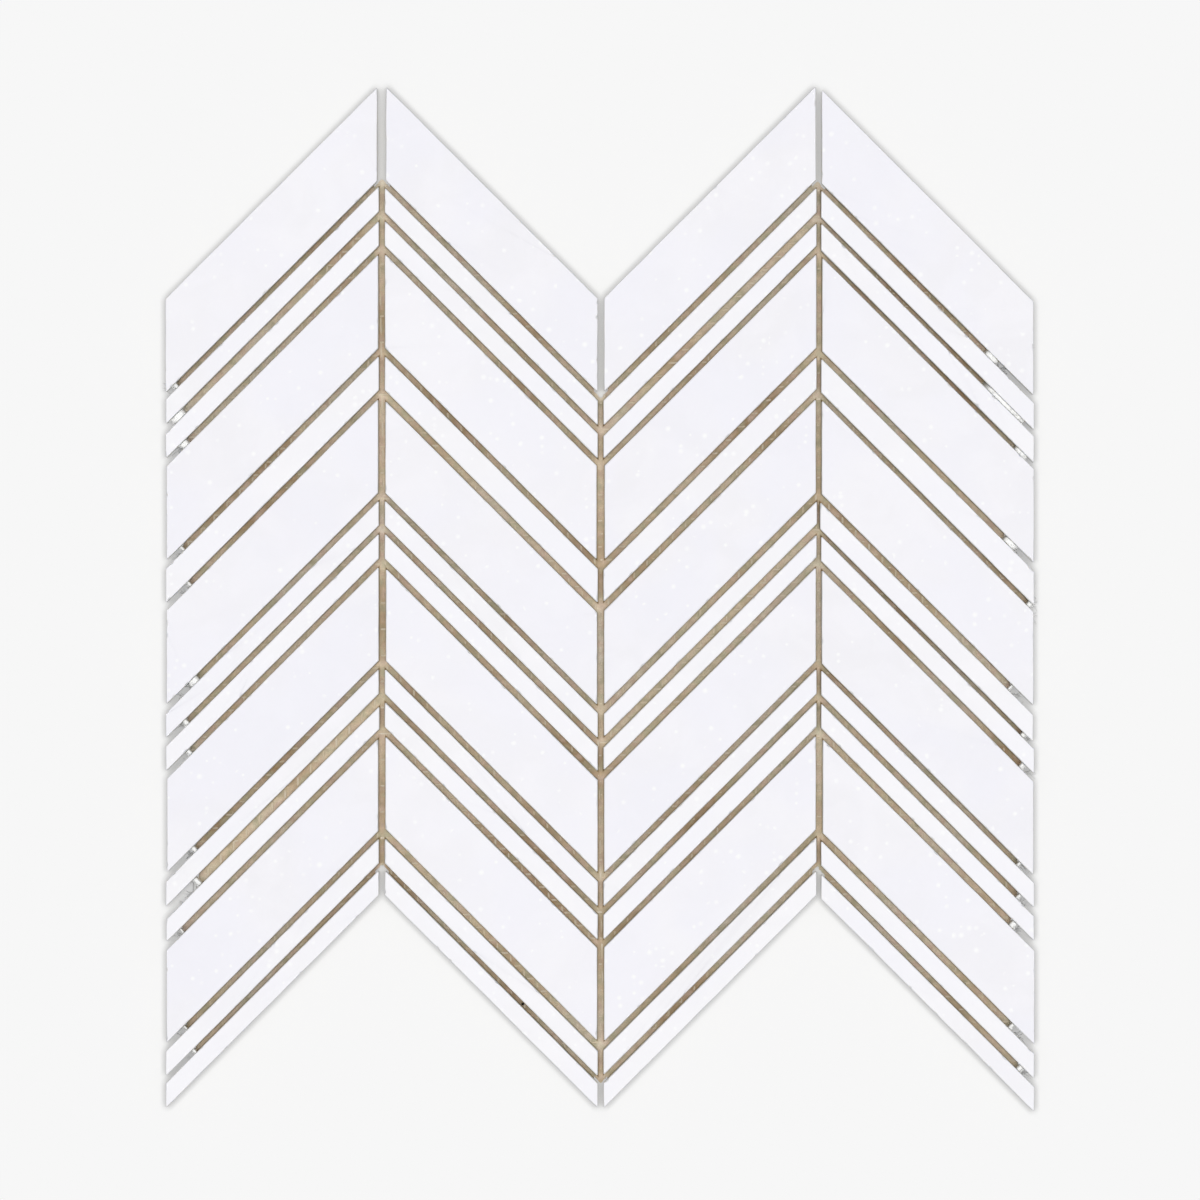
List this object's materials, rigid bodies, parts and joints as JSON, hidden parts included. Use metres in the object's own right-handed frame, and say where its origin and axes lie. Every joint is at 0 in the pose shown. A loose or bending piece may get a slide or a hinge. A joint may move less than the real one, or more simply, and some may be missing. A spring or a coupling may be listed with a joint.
{
  "type": "marble chevron mosaic sheet",
  "caption": "Mesh-backed mosaic sheet of polished white marble parallelograms in chevrons, wide pieces alternating with narrow strips, with zigzag ends.",
  "frame": {"origin": "under the middle of the sheet's outline, on the underside of the backing mesh", "axes": "+X across the columns to the right, +Y up the sheet along the columns towards the end with two points, +Z out of the polished face"},
  "size_m": [0.2596, 0.3058, 0.01],
  "materials": {
    "marble": "polished white marble, faintly clouded, with fine bright crystals and a sawn matt edge",
    "backing": "open glass-fibre weave bedded in dried tan adhesive"
  },
  "bodies": {
    "root": {"mesh_backing": "backing", "wide_tile_c1_r01": "marble", "narrow_strip_c1_r02": "marble", "narrow_strip_c1_r03": "marble", "wide_tile_c1_r04": "marble", "medium_strip_c1_r05": "marble", "wide_tile_c1_r06": "marble", "narrow_strip_c1_r07": "marble", "narrow_strip_c1_r08": "marble", "wide_tile_c1_r09": "marble", "narrow_strip_c1_r10": "marble", "narrow_strip_c1_r11": "marble", "wide_tile_c1_r12": "marble", "narrow_strip_c1_r13": "marble", "narrow_strip_c1_r14": "marble", "wide_tile_c2_r01": "marble", "narrow_strip_c2_r02": "marble", "narrow_strip_c2_r03": "marble", "wide_tile_c2_r04": "marble", "medium_strip_c2_r05": "marble", "wide_tile_c2_r06": "marble", "narrow_strip_c2_r07": "marble", "narrow_strip_c2_r08": "marble", "wide_tile_c2_r09": "marble", "narrow_strip_c2_r10": "marble", "narrow_strip_c2_r11": "marble", "wide_tile_c2_r12": "marble", "narrow_strip_c2_r13": "marble", "narrow_strip_c2_r14": "marble", "wide_tile_c3_r01": "marble", "narrow_strip_c3_r02": "marble", "narrow_strip_c3_r03": "marble", "wide_tile_c3_r04": "marble", "medium_strip_c3_r05": "marble", "wide_tile_c3_r06": "marble", "narrow_strip_c3_r07": "marble", "narrow_strip_c3_r08": "marble", "wide_tile_c3_r09": "marble", "narrow_strip_c3_r10": "marble", "narrow_strip_c3_r11": "marble", "wide_tile_c3_r12": "marble", "narrow_strip_c3_r13": "marble", "narrow_strip_c3_r14": "marble", "wide_tile_c4_r01": "marble", "narrow_strip_c4_r02": "marble", "narrow_strip_c4_r03": "marble", "wide_tile_c4_r04": "marble", "medium_strip_c4_r05": "marble", "wide_tile_c4_r06": "marble", "narrow_strip_c4_r07": "marble", "narrow_strip_c4_r08": "marble", "wide_tile_c4_r09": "marble", "narrow_strip_c4_r10": "marble", "narrow_strip_c4_r11": "marble", "wide_tile_c4_r12": "marble", "narrow_strip_c4_r13": "marble", "narrow_strip_c4_r14": "marble"}
  },
  "joints": []
}
